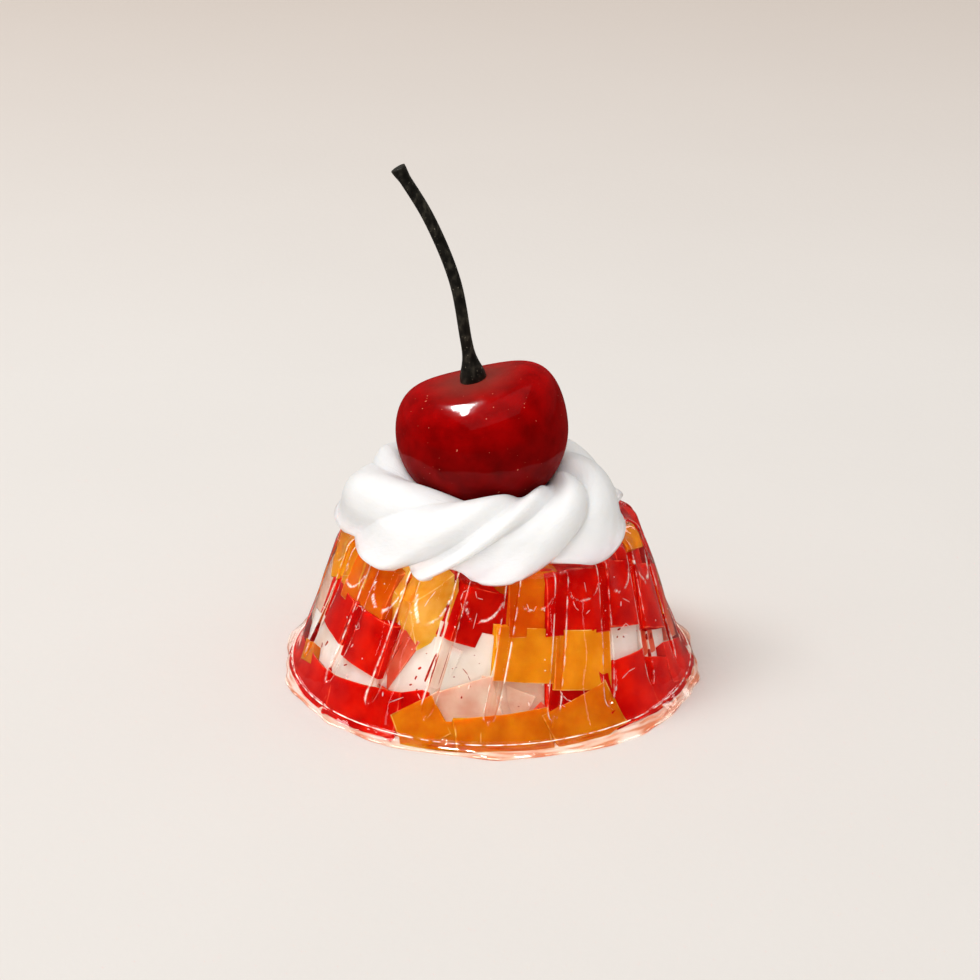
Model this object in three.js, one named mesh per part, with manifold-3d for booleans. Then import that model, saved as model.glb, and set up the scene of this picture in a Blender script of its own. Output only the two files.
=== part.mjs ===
// A small moulded jelly with a twisted fluted side, a piped ring of whipped cream on top,
// and a cherry with its stem sunk in the middle of the cream.
// Millimetres, +Z up. The origin is the centre of the jelly's flat base; the front is -Y.

import * as THREE from 'three';
import Module from 'manifold-3d';

const wasm = await Module();
wasm.setup();

// Driving sizes of the jelly.
const jellyHeight = 23.5;
const coneBaseRadius = 29.4;          // the straight wall, carried down to the base
const coneTaper = 0.322;              // radius lost for each millimetre of height
const skirtFlare = 3.0;               // how far the wall flares out at the base
const skirtFlareHeight = 3.0;         // height over which that flare dies away
const rimRound = 2.4;                 // radius of the rounded top corner
const filmThickness = 0.9;            // the thin spilt film round the foot
const filmRadius = 31.9;
const filmRound = 0.35;
const skirtFootHeight = 1.15;         // where the skirt meets the film
const filmWaves = [                   // [count round the edge, height of the wave, where it peaks]
  [2, 0.6, -58],
  [4, 0.3, -50],
  [10, 0.2, -88],
  [14, 0.16, -62],
];

// Flutes: narrow round grooves that lean as they rise, with wide lands between them.
const fluteCount = 19;
const fluteStart = -87.8;             // direction of one groove, in degrees, at the twist's level
const twistPerMillimetre = 0.49;      // degrees
const twistLevel = 10;
const grooveDepth = 0.75;
const grooveRound = 0.95;             // radius of the groove's round section
const grooveFootLevel = 6.0;          // below this the groove closes in a rounded tongue
const grooveFootLength = 2.3;
const scoopDepth = 0.6;               // the shallow hollow at the top of each land
const scoopHalfWidth = 2.7;
const scoopLevel = 20.6;
const scoopLength = 3.0;

// Driving sizes of the cream, a ring piped through a star nozzle. Directions are degrees
// round the ring's centre, from the front towards the right.
const creamCentre = new THREE.Vector2(-1.2, -0.6);
const creamCrestRadius = 13.6;
const creamCrestHeight = 9.2;         // above the jelly's top
const creamOuterReach = 7.0;          // from the crest out to the side
const creamFootFlare = 2.1;           // the foot spreads a little further
const creamFootRise = 0.1;
const creamInnerReach = 6.0;          // from the crest in towards the cherry
const creamLip = 0.6;                 // height of the rounded lower edge
const creaseDepthAtFoot = 3.9;
const creaseDepthAtCrest = 2.1;
const ridgeFlatness = 1.9;
// Each ridge, with the crease on its left: where the crease starts on the ring's crest, how far it
// runs round on its way down, its extra hook at the foot, and its share of the full depth; then
// where between its creases the ridge stands highest, and how far it bulges.
const ridges = [
  { start: -76, run: 60, hook: 6, depth: 0.9, peak: 0.5, bulge: 1.7 },
  { start: -18, run: 48, hook: -3, depth: 1.1, peak: 0.72, bulge: 0.2 },
  { start: 23, run: 42, hook: 8, depth: 0.5, peak: 0.5, bulge: -0.2 },
  { start: 55, run: 62, hook: 2, depth: 1.0, peak: 0.35, bulge: 0.5 },
  { start: 84, run: 36, hook: 18, depth: 1.2, peak: 0.32, bulge: 0 },
  { start: 124, run: 20, hook: 4, depth: 1.0, peak: 0.6, bulge: 0.3 },
  { start: 165, run: 32, hook: 5, depth: 0.9, peak: 0.5, bulge: 0 },
  { start: 205, run: 46, hook: 6, depth: 1.0, peak: 0.5, bulge: 0.6 },
  { start: 243, run: 54, hook: 6, depth: 0.9, peak: 0.5, bulge: 0.2 },
];
const creaseTop = 1.1;                // the rise at which a crease starts
const restGap = 0.3;                  // between a piece and what it rests against

// Driving sizes of the cherry and its stem.
const cherryCentre = new THREE.Vector3(-1.35, 0, 37.65);
const cherryRadius = 12.65;
const cherryUpperHeight = 12.7;       // from its middle up, before the dimple is pressed in
const cherryLowerHeight = 11.9;
const cherryFullness = 0.92;          // below 1 the side is fuller than a ball's
const dimpleDepth = 4.9;
const dimpleWidth = 0.87;             // radians from the cherry's top
const dimpleSide = -0.5;
const cherryTilt = 6.5;               // degrees, right side up
const shoulderLift = 0.13;            // the right shoulder stands higher
const shoulderSaddle = 2.2;           // both shoulders stand above the front and the back
const stemPath = [                    // x and z of the stem's centre line
  [-2.5, 43.2], [-2.6, 45.6], [-3.6, 51.3], [-5.2, 60.4], [-8.7, 69.4], [-13.1, 77.0],
];
const stemRadius = 0.86;
const stemFootRadius = 1.95;
const stemFootLevel = 2.2;            // along the stem, up to where its foot keeps its full width
const stemFootHeight = 2.6;
const stemTipRadius = 1.1;
const stemTipLength = 2.2;

const degree = Math.PI / 180;

// ---------------------------------------------------------------- shared tools

function smoothStep(low, high, value) {
  const part = Math.min(1, Math.max(0, (value - low) / (high - low)));
  return part * part * (3 - 2 * part);
}

// The lesser of two values, with the crossing rounded over a width.
function softMin(first, second, width) {
  const blend = Math.max(width - Math.abs(first - second), 0) / width;
  return Math.min(first, second) - blend * blend * width / 4;
}

// A closed surface through rings of points, from a lower pole to an upper one.
// Every ring runs counter-clockwise seen from the upper pole.
function closedSkin(rings, lowerPole, upperPole) {
  const columns = rings[0].length;
  const points = [lowerPole, ...rings.flat(), upperPole];
  const upperIndex = points.length - 1;
  const at = (ring, column) => 1 + ring * columns + (column % columns);
  const faces = [];
  for (let column = 0; column < columns; column += 1) {
    faces.push(0, at(0, column + 1), at(0, column));
    faces.push(upperIndex, at(rings.length - 1, column), at(rings.length - 1, column + 1));
  }
  for (let ring = 0; ring + 1 < rings.length; ring += 1) {
    for (let column = 0; column < columns; column += 1) {
      const corners = [at(ring, column), at(ring, column + 1), at(ring + 1, column + 1), at(ring + 1, column)];
      faces.push(corners[0], corners[1], corners[2]);
      faces.push(corners[0], corners[2], corners[3]);
    }
  }
  const geometry = new THREE.BufferGeometry();
  geometry.setAttribute('position', new THREE.Float32BufferAttribute(points.flatMap((p) => [p.x, p.y, p.z]), 3));
  geometry.setIndex(faces);
  return geometry;
}

function toSolid(geometry) {
  return new wasm.Manifold(new wasm.Mesh({
    numProp: 3,
    vertProperties: geometry.getAttribute('position').array,
    triVerts: new Uint32Array(geometry.getIndex().array),
  }));
}

function toGeometry(solid) {
  const mesh = solid.getMesh();
  const geometry = new THREE.BufferGeometry();
  geometry.setAttribute('position', new THREE.BufferAttribute(new Float32Array(mesh.vertProperties), 3));
  geometry.setIndex(new THREE.BufferAttribute(new Uint32Array(mesh.triVerts), 1));
  return geometry;
}

function finishedMesh(name, geometry, finish) {
  geometry.computeVertexNormals();
  const mesh = new THREE.Mesh(geometry, new THREE.MeshStandardMaterial(finish));
  mesh.name = name;
  return mesh;
}

// ---------------------------------------------------------------- jelly

const rimArcRadius = coneBaseRadius - coneTaper * (jellyHeight - rimRound)
  - rimRound * Math.hypot(1, coneTaper);
const rimArcLevel = jellyHeight - rimRound;
const rimStartLevel = rimArcLevel + rimRound * coneTaper / Math.hypot(1, coneTaper);

// Radius of the plain wall at a level, with the flared skirt and the rounded rim.
function wallRadius(level) {
  if (level > rimStartLevel) {
    const rise = Math.min(level - rimArcLevel, rimRound);
    return rimArcRadius + Math.sqrt(rimRound ** 2 - rise ** 2);
  }
  return coneBaseRadius - coneTaper * level + skirtFlare * Math.exp(-level / skirtFlareHeight);
}

// Radius of the surface in a groove, at a distance along the wall from the groove's middle.
function grooveRadius(level, distance) {
  const foot = Math.max(0, grooveFootLevel - level) / grooveFootLength;
  const spread = Math.hypot(distance / grooveRound, foot);
  if (spread >= 1) {
    return Infinity;
  }
  const straightWall = coneBaseRadius - coneTaper * level;
  const floor = Math.min(straightWall, wallRadius(level)) - grooveDepth;
  return floor + grooveRound * (1 - Math.sqrt(1 - spread ** 2));
}

// Depth of the hollow at the top of a land, at a distance from the land's middle.
function scoopAt(level, distance) {
  const below = Math.max(0, scoopLevel - level) / scoopLength;
  return scoopDepth * Math.max(0, 1 - (distance / scoopHalfWidth) ** 2 - below ** 2) ** 2;
}

function filmEdgeRadius(angle) {
  const waves = filmWaves.map(([count, size, peak]) => size * Math.cos(count * (angle - peak) * degree));
  return filmRadius + waves.reduce((sum, wave) => sum + wave, 0);
}

function pointAt(radius, angle, level) {
  return new THREE.Vector3(radius * Math.cos(angle * degree), radius * Math.sin(angle * degree), level);
}

function makeJelly() {
  const flutePitch = 360 / fluteCount;
  const offsets = [-0.5, -0.3, -0.15, -0.1, -0.05, 0, 0.05, 0.1, 0.15, 0.3];
  const wallLevels = [skirtFootHeight, 2.2, 3.4, 4.4, 5.4, 6.6, 8.5, 13, 17.4, 19.2, 20.8, 22, 22.9, 23.35, jellyHeight];
  const columns = [];
  for (let flute = 0; flute < fluteCount; flute += 1) {
    offsets.forEach((offset) => columns.push({ flute, offset }));
  }

  const wallRing = (level) => columns.map(({ flute, offset }) => {
    const angle = fluteStart + (flute + offset) * flutePitch + twistPerMillimetre * (level - twistLevel);
    const land = wallRadius(level);
    const arc = land * flutePitch * degree;
    const landOffset = offset > 0 ? offset - 0.5 : offset + 0.5;
    const hollowed = land - scoopAt(level, landOffset * arc);
    const groove = Math.min(grooveRadius(level, offset * arc), hollowed + 1);
    return pointAt(softMin(hollowed, groove, 0.15), angle, level);
  });
  const filmRing = (inset, level) => columns.map(({ flute, offset }) => {
    const angle = fluteStart + (flute + offset) * flutePitch - twistPerMillimetre * twistLevel;
    return pointAt(filmEdgeRadius(angle) - inset, angle, level);
  });

  const rings = [
    filmRing(filmRound, 0),
    filmRing(0, filmRound),
    filmRing(filmRound, filmThickness),
    ...wallLevels.map(wallRing),
  ];
  return closedSkin(rings, new THREE.Vector3(0, 0, 0), new THREE.Vector3(0, 0, jellyHeight));
}

// ---------------------------------------------------------------- cream

// Direction of the crease on a ridge's left, at a rise up the ring's side.
function creaseDirection(index, rise) {
  const { start, run, hook } = ridges[index % ridges.length];
  const turns = Math.floor(index / ridges.length);
  return start + 360 * turns - run * (creaseTop - rise) - hook * Math.exp(-rise / creamFootRise);
}

// A point of the piped ring, at a share of the way across one ridge. Rise is 0 at the foot,
// 1 on the crest and up to 2 on the inner side.
function creamPoint(index, across, rise) {
  const { peak, bulge, depth } = ridges[index];
  const farDepth = ridges[(index + 1) % ridges.length].depth;
  const before = across < peak;
  const fromPeak = before ? 1 - across / peak : (across - peak) / (1 - peak);
  const turn = rise * Math.PI / 2;
  const outward = Math.cos(turn);
  const fullDepth = THREE.MathUtils.lerp(creaseDepthAtFoot, creaseDepthAtCrest, Math.min(1, 3 * rise));
  const push = fullDepth * (before ? depth : farDepth) * fromPeak ** ridgeFlatness;
  const swell = bulge * (1 - fromPeak ** 2) * Math.sin(Math.PI * Math.min(1, rise) ** 1.3);
  const flare = creamFootFlare * Math.exp(-rise / creamFootRise);
  const reach = outward > 0 ? creamOuterReach + flare : creamInnerReach;
  const from = creaseDirection(index, rise);
  return {
    direction: THREE.MathUtils.lerp(from, creaseDirection(index + 1, rise), across),
    radius: creamCrestRadius + reach * outward + (swell - push) * Math.max(outward, 0),
    height: (creamCrestHeight + 0.5 * swell - push * Math.sin(turn)) * Math.sin(turn),
  };
}

// The top of the jelly under the cream, with the gap that opens over the rounded rim.
function restLevel(distance) {
  const over = Math.min(Math.max(0, distance - rimArcRadius), rimRound * 0.85);
  return rimArcLevel + Math.sqrt(rimRound ** 2 - over ** 2) + restGap * smoothStep(17.5, 19.5, distance);
}

function makeCream(hollow) {
  const columnsPerRidge = 12;
  const footShares = [0.78, 0.88, 0.96];
  const rises = [0.0, 0.08, 0.2, 0.35, 0.5, 0.65, 0.8, 0.95, 1.1, 1.3, 1.55];
  const columns = ridges.flatMap((_, index) => (
    Array.from({ length: columnsPerRidge }, (__, step) => ({ index, across: step / columnsPerRidge }))
  ));
  const place = (direction, radius, level) => (
    pointAt(radius, direction - 90, level).add(new THREE.Vector3(creamCentre.x, creamCentre.y, 0))
  );
  const footPoint = ({ index, across }, share) => {
    const { direction, radius } = creamPoint(index, across, 0);
    const point = place(direction, radius * share, 0);
    return point.setZ(restLevel(Math.hypot(point.x, point.y)));
  };
  const sidePoint = (column, rise) => {
    const { direction, radius, height } = creamPoint(column.index, column.across, rise);
    const foot = footPoint(column, 1).z + creamLip;
    return place(direction, radius, foot + height * (1 + (jellyHeight - foot) / creamCrestHeight));
  };
  const skin = closedSkin(
    [
      ...footShares.map((share) => columns.map((column) => footPoint(column, share))),
      ...rises.map((rise) => columns.map((column) => sidePoint(column, rise))),
    ],
    new THREE.Vector3(creamCentre.x, creamCentre.y, jellyHeight),
    new THREE.Vector3(creamCentre.x, creamCentre.y, jellyHeight + creamCrestHeight / 2),
  );
  return toGeometry(toSolid(skin).subtract(hollow));
}

// ---------------------------------------------------------------- cherry and stem

// A point of the cherry's skin, grown outwards. Polar is 0 on top and pi at the bottom.
function cherryPoint(polar, angle, growth) {
  const up = Math.max(0, Math.cos(polar));
  const radius = cherryRadius * Math.sin(polar) ** cherryFullness;
  const halfHeight = up > 0 ? cherryUpperHeight : cherryLowerHeight;
  const dimple = dimpleDepth * Math.exp(-((polar / dimpleWidth) ** 2));
  const saddle = shoulderSaddle * Math.cos(2 * angle) * Math.sin(polar) ** 2 * up;
  const point = new THREE.Vector3(
    radius * Math.cos(angle) + dimpleSide * up ** 4,
    radius * Math.sin(angle),
    halfHeight * Math.cos(polar) - dimple + saddle,
  );
  point.z += shoulderLift * point.x * up;
  point.applyAxisAngle(new THREE.Vector3(0, 1, 0), -cherryTilt * degree);
  point.setLength(point.length() + growth);
  return point.add(cherryCentre);
}

function makeCherry(growth) {
  const columns = 32;
  const rows = 20;
  const rings = [];
  for (let row = 1; row < rows; row += 1) {
    const polar = Math.PI * (1 - row / rows);
    rings.push(Array.from({ length: columns }, (_, column) => (
      cherryPoint(polar, column * 2 * Math.PI / columns, growth)
    )));
  }
  return closedSkin(rings, cherryPoint(Math.PI, 0, growth), cherryPoint(0, 0, growth));
}

function stemRadiusAt(along, length) {
  const past = Math.max(0, along - stemFootLevel) / stemFootHeight;
  const foot = (stemFootRadius - stemRadius) * Math.exp(-(past ** 2));
  const tip = (stemTipRadius - stemRadius) * smoothStep(length - stemTipLength, length, along);
  return stemRadius + foot + tip;
}

function makeStem(hollow) {
  const sides = 10;
  const steps = 18;
  const path = new THREE.CatmullRomCurve3(stemPath.map(([x, z]) => new THREE.Vector3(x, 0, z)));
  const length = path.getLength();
  const across = new THREE.Vector3(0, 1, 0);
  const rings = [];
  for (let step = 0; step <= steps; step += 1) {
    const share = step / steps;
    const centre = path.getPointAt(share);
    const aside = new THREE.Vector3().crossVectors(across, path.getTangentAt(share));
    const radius = stemRadiusAt(share * length, length);
    rings.push(Array.from({ length: sides }, (_, side) => {
      const angle = side * 2 * Math.PI / sides;
      return centre.clone()
        .addScaledVector(aside, radius * Math.cos(angle))
        .addScaledVector(across, radius * Math.sin(angle));
    }));
  }
  const skin = closedSkin(rings, path.getPointAt(0), path.getPointAt(1));
  return toGeometry(toSolid(skin).subtract(hollow));
}

// ---------------------------------------------------------------- the whole

const cherryRoom = toSolid(makeCherry(restGap));

const dessert = new THREE.Group();
dessert.add(finishedMesh('jelly_body', makeJelly(), { color: 0xe8a090, roughness: 0.08, metalness: 0 }));
dessert.add(finishedMesh('cream_swirl', makeCream(cherryRoom), { color: 0xfbfaf8, roughness: 0.55, metalness: 0 }));
dessert.add(finishedMesh('cherry', makeCherry(0), { color: 0x9a0604, roughness: 0.12, metalness: 0 }));
dessert.add(finishedMesh('cherry_stem', makeStem(cherryRoom), { color: 0x2c2a22, roughness: 0.5, metalness: 0 }));

export default dessert;
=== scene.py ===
"""A small moulded jelly: clear and fluted, set with cut jelly cubes, under a piped ring of
whipped cream that holds a cherry on its stem.

Every length is in metres, in the frame of the CAD model: +Z up, the front towards -Y.
"""
import math
import random
from itertools import product

import bpy
import numpy as np
from mathutils import Matrix, Vector


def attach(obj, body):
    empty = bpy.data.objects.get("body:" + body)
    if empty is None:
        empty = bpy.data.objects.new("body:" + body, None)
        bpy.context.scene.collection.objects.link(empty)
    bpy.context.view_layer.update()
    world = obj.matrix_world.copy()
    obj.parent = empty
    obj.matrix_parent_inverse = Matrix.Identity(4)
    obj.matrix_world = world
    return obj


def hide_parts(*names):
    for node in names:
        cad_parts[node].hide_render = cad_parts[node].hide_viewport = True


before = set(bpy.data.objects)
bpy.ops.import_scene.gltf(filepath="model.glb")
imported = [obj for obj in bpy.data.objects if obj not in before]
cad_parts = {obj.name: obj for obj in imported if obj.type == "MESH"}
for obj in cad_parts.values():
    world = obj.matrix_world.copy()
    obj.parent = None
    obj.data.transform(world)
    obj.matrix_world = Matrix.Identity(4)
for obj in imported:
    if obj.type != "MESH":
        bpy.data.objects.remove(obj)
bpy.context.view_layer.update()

MM = 0.001
FRONT = -math.pi / 2        # a direction of 0 degrees from the front, as an angle from +X

# Values that the shapes give to each of their points, for the finishes to read.
PAINTED_HIGHLIGHT_LINE = "painted_highlight_line"         # painted highlights: pale lines along the jelly's edges, grooves, scoops, foot and bead
PAINTED_RED_REFRACTION = "painted_red_refraction"         # painted refraction: the red cubes shown as red streaks in the sloping foot and as pink in the grooves
CUT_EDGE_HIGHLIGHT = "cut_edge_highlight"           # painted highlight: the pale line along a cube's cut edges
ALONG_FOLDS = "along_folds"     # a place whose noise gives streaks along the cream's folds
DIMPLE_PAINTED_SHADE = "dimple_painted_shade"     # painted shade: the browner, darker hollow round the cherry's stem

# ---------------- sizes of the jelly

JELLY_HEIGHT = 23.5 * MM
CONE_BASE_RADIUS = 29.4 * MM
CONE_TAPER = 0.322          # radius lost for each metre of height
SKIRT_FLARE = 1.9 * MM
SKIRT_FLARE_HEIGHT = 3.0 * MM
SKIRT_FOOT_HEIGHT = 1.65 * MM   # where the skirt meets the bead above the sloping foot
RIM_ROUND = 2.4 * MM
FILM_RADIUS = 31.9 * MM
FILM_EDGE_HEIGHT = 0.4 * MM
FILM_INNER_RADIUS = 30.3 * MM   # where the sloping foot meets the bead, and its height there
FILM_INNER_HEIGHT = 1.3 * MM
FILM_RAGGEDNESS = 0.26 * MM
FILM_COARSE_LUMPS = 0.2 * MM
FILM_FINE_LUMPS = 0.14 * MM
FOOT_BEAD_RADIUS = 30.1 * MM
FOOT_BEAD_LEVEL = 1.35 * MM
FOOT_BEAD_ROUND = 0.2 * MM
# The film's edge: count of waves round it, their size, and the direction of one peak in degrees.
FILM_WAVES = [(2, 0.6 * MM, -58), (4, 0.3 * MM, -50), (10, 0.2 * MM, -88), (14, 0.16 * MM, -62)]

FLUTE_COUNT = 19
FLUTE_START = math.radians(-87.8)
FLUTE_PITCH = 2 * math.pi / FLUTE_COUNT
TWIST_PER_METRE = math.radians(490)
TWIST_LEVEL = 10 * MM
LAND_PILLOW = 0.45 * MM     # each land is slightly rounded from groove to groove
LAND_COLUMNS = 9
GROOVE_DEPTH = 0.75 * MM
GROOVE_ROUND = 0.95 * MM
GROOVE_FOOT_LEVEL = 6.0 * MM
GROOVE_FOOT_LENGTH = 2.3 * MM
SCOOP_DEPTH = 0.8 * MM
SCOOP_HALF_WIDTH = 2.7 * MM
SCOOP_LEVEL = 20.6 * MM
SCOOP_LENGTH = 3.0 * MM

# ---------------- sizes of the cream

CREAM_CENTRE = np.array([-1.2 * MM, -0.6 * MM])
CREAM_CREST_RADIUS = 13.6 * MM
CREAM_CREST_HEIGHT = 9.2 * MM
CREAM_OUTER_REACH = 7.0 * MM
CREAM_FOOT_FLARE = 2.1 * MM
CREAM_FOOT_RISE = 0.1
CREAM_INNER_REACH = 6.0 * MM
CREAM_LIP = 0.6 * MM
CREASE_DEPTH_AT_FOOT = 3.2 * MM
CREASE_DEPTH_AT_CREST = 1.6 * MM
RIDGE_FLATNESS = 1.9
CREASE_TOP = 1.1
REST_GAP = 0.3 * MM         # under the cream, with how far out it starts and is full
REST_GAP_START = 17.5 * MM
REST_GAP_END = 19.5 * MM
# Each ridge: where the crease on its left starts on the crest, in degrees from the front towards
# the right; how far it runs round on its way down; its extra hook at the foot; its share of the
# full depth; its sharpness, from a round valley at 0 to a sharp fold at 1; where the ridge
# stands highest; and how far it bulges.
RIDGES = [
    (-76, 60, 6, 0.7, 0.6, 0.5, 1.4 * MM),
    (-18, 48, -3, 0.8, 0.5, 0.68, 0.5 * MM),
    (23, 42, 8, 0.7, 0.2, 0.5, 0.2 * MM),
    (55, 62, 2, 0.9, 0.1, 0.5, 0.7 * MM),
    (84, 36, 18, 1.2, 1.0, 0.32, 0.2 * MM),
    (124, 20, 4, 0.9, 0.7, 0.6, 0.4 * MM),
    (165, 32, 5, 0.8, 0.6, 0.5, 0.3 * MM),
    (205, 46, 6, 0.9, 0.6, 0.5, 0.6 * MM),
    (243, 54, 6, 0.8, 0.6, 0.5, 0.4 * MM),
]

# ---------------- sizes of the cherry and its stem

CHERRY_CENTRE = np.array([-1.35 * MM, 0.0, 37.65 * MM])
CHERRY_RADIUS = 12.65 * MM
CHERRY_UPPER_HEIGHT = 12.7 * MM
CHERRY_LOWER_HEIGHT = 11.9 * MM
CHERRY_FULLNESS = 0.92
DIMPLE_DEPTH = 4.9 * MM
DIMPLE_WIDTH = 0.87         # radians from the cherry's top
DIMPLE_SHADE_WIDTH = 0.45    # the same for the painted shade round the stem
DIMPLE_SIDE = -0.5 * MM
CHERRY_TILT = math.radians(6.5)
SHOULDER_LIFT = 0.13
SHOULDER_SADDLE = 2.2 * MM
# The middle line of the stem, in millimetres across and up.
STEM_PATH = [(-2.5, 43.2), (-2.6, 45.6), (-3.6, 51.3), (-5.2, 60.4), (-8.7, 69.4), (-13.1, 77.0)]
STEM_RADIUS = 0.86 * MM
STEM_FOOT_RADIUS = 1.95 * MM
STEM_FOOT_LEVEL = 2.2 * MM
STEM_FOOT_HEIGHT = 2.6 * MM
STEM_TIP_RADIUS = 1.1 * MM
STEM_TIP_LENGTH = 2.2 * MM


# ---------------- shared shape tools

def smooth_step(low, high, value):
    part = np.clip((value - low) / (high - low), 0, 1)
    return part * part * (3 - 2 * part)


def soft_min(first, second, width):
    """The lesser of two values, with the crossing rounded over a width."""
    blend = np.maximum(width - np.abs(first - second), 0) / width
    return np.minimum(first, second) - blend * blend * width / 4


def ripple(points, wavelength, seed):
    """A smooth uneven height from -1 to 1 at each point, from plane waves in seeded directions."""
    chance = np.random.default_rng(seed)
    waves = 10
    directions = chance.normal(size=(waves, 3))
    directions /= np.linalg.norm(directions, axis=1)[:, None]
    stretch = chance.uniform(0.7, 1.5, waves)
    phases = chance.uniform(0, 2 * math.pi, waves)
    turns = points @ directions.T * (2 * math.pi / wavelength * stretch) + phases
    return np.sin(turns).mean(axis=-1) * 2


def round_point(radius, angle, level):
    return Vector((radius * math.cos(angle), radius * math.sin(angle), level))


def ring_points(radius, angle, level):
    level = np.broadcast_to(level, angle.shape)
    return np.stack([radius * np.cos(angle), radius * np.sin(angle), level], axis=-1)


def new_object(name, vertices, faces):
    mesh = bpy.data.meshes.new(name)
    mesh.from_pydata(np.asarray(vertices).tolist(), [], faces)
    mesh.polygons.foreach_set("use_smooth", [True] * len(mesh.polygons))
    mesh.update()
    piece = bpy.data.objects.new(name, mesh)
    bpy.context.scene.collection.objects.link(piece)
    return piece


def joined_object(name, parts):
    """One piece of several closed parts, each given by its vertices and its faces."""
    vertices = []
    faces = []
    for points, part_faces in parts:
        first = len(vertices)
        vertices.extend(points)
        faces.extend([first + corner for corner in face] for face in part_faces)
    return new_object(name, vertices, faces)


def mark_points(piece, name, values):
    """Gives a piece a named value or a named place for each of its points."""
    values = np.asarray(values, float)
    kind, field = ("FLOAT", "value") if values.ndim == 1 else ("FLOAT_VECTOR", "vector")
    piece.data.attributes.new(name, kind, "POINT").data.foreach_set(field, values.ravel())


def skin_faces(ring_count, column_count):
    """Faces of a closed skin whose vertices are a lower pole, its rings and an upper pole."""
    def at(ring, column):
        return 1 + ring * column_count + column % column_count

    upper_pole = 1 + ring_count * column_count
    faces = []
    for column in range(column_count):
        faces.append((0, at(0, column + 1), at(0, column)))
        faces.append((upper_pole, at(ring_count - 1, column), at(ring_count - 1, column + 1)))
    for ring in range(ring_count - 1):
        for column in range(column_count):
            lower = (at(ring, column), at(ring, column + 1))
            faces.append((*lower, at(ring + 1, column + 1), at(ring + 1, column)))
    return faces


def closed_skin(name, rings, lower_pole, upper_pole):
    """A closed piece through rings of points, each counter-clockwise seen from above."""
    rings = np.asarray(rings)
    vertices = np.vstack([[lower_pole], rings.reshape(-1, 3), [upper_pole]])
    return new_object(name, vertices, skin_faces(rings.shape[0], rings.shape[1]))


# ---------------- jelly

RIM_SLOPE = math.hypot(1, CONE_TAPER)
RIM_ARC_LEVEL = JELLY_HEIGHT - RIM_ROUND
RIM_ARC_RADIUS = CONE_BASE_RADIUS - CONE_TAPER * RIM_ARC_LEVEL - RIM_ROUND * RIM_SLOPE
RIM_START_LEVEL = RIM_ARC_LEVEL + RIM_ROUND * CONE_TAPER / RIM_SLOPE


def straight_wall(level):
    return CONE_BASE_RADIUS - CONE_TAPER * level


def wall_radius(level):
    """Radius of the plain wall at a level, with the flared skirt and the rounded rim."""
    if level > RIM_START_LEVEL:
        rise = min(level - RIM_ARC_LEVEL, RIM_ROUND)
        return RIM_ARC_RADIUS + math.sqrt(RIM_ROUND ** 2 - rise ** 2)
    return straight_wall(level) + SKIRT_FLARE * math.exp(-level / SKIRT_FLARE_HEIGHT)


def groove_radius(level, distance):
    """Radius of the surface in a groove, at distances along the wall from the groove's middle."""
    foot = max(0, GROOVE_FOOT_LEVEL - level) / GROOVE_FOOT_LENGTH
    spread = np.hypot(distance / GROOVE_ROUND, foot)
    floor = min(straight_wall(level), wall_radius(level)) - GROOVE_DEPTH
    side = floor + GROOVE_ROUND * (1 - np.sqrt(np.maximum(0, 1 - spread ** 2)))
    return np.where(spread < 1, side, np.inf)


def scoop_at(level, distance, share):
    """Depth of the hollow at the top of a land, at distances from the land's middle, and the
    weight of the painted highlight along its lower edge, for a share of the full size."""
    below = max(0, SCOOP_LEVEL - level) / (SCOOP_LENGTH * share)
    inside = 1 - (distance / SCOOP_HALF_WIDTH) ** 2 - below ** 2
    line = np.where(below > 0.1, np.exp(-((inside - 0.12) / 0.1) ** 2), 0) * share * 0.8
    return SCOOP_DEPTH * share * np.maximum(0, inside) ** 1.5, line


def film_edge_radius(angle):
    waves = [size * np.cos(count * (angle - math.radians(peak))) for count, size, peak in FILM_WAVES]
    return FILM_RADIUS + sum(waves)


def groove_half_width(level):
    """Half the width of a groove at a level, nearly nothing below its rounded foot."""
    foot = max(0, GROOVE_FOOT_LEVEL - level) / GROOVE_FOOT_LENGTH
    return max(GROOVE_ROUND * math.sqrt(max(0, 1 - foot ** 2)), 0.2 * MM)


def flute_columns(level):
    """For one ring: each column's flute, its distance along the wall from the groove's middle,
    how far it lies on the painted highlight along the groove's edge, and its share of the painted red
    refraction in the groove."""
    half_arc = wall_radius(level) * FLUTE_PITCH / 2
    edge = groove_half_width(level)
    groove = edge * np.array([0, 0.3, 0.55, 0.75, 0.9, 1.0])
    brink = edge + np.array([0.12, 0.3]) * MM
    land = np.linspace(brink[-1], half_arc, LAND_COLUMNS + 1)[1:]
    half = np.concatenate([groove, brink, land])
    line = np.interp(half, [0.9 * edge, edge, brink[0], brink[1]], [0, 1, 0.5, 0])
    refraction_tint = np.interp(half, edge * np.array([0, 0.3, 0.75, 0.9, 1.0]), [0.42, 0.5, 0.45, 0.85, 0])

    def all_round(values, left=1):
        """Values from a groove's middle outwards, laid out on both sides of every groove."""
        return np.tile(np.concatenate([left * values[:0:-1], values[:-1]]), FLUTE_COUNT)

    flutes = np.repeat(np.arange(FLUTE_COUNT), 2 * len(half) - 2)
    return flutes, all_round(half, -1), all_round(line), all_round(refraction_tint)


def column_angles(level, flutes, distance):
    turn = TWIST_PER_METRE * (level - TWIST_LEVEL)
    return FLUTE_START + flutes * FLUTE_PITCH + distance / wall_radius(level) + turn


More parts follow.
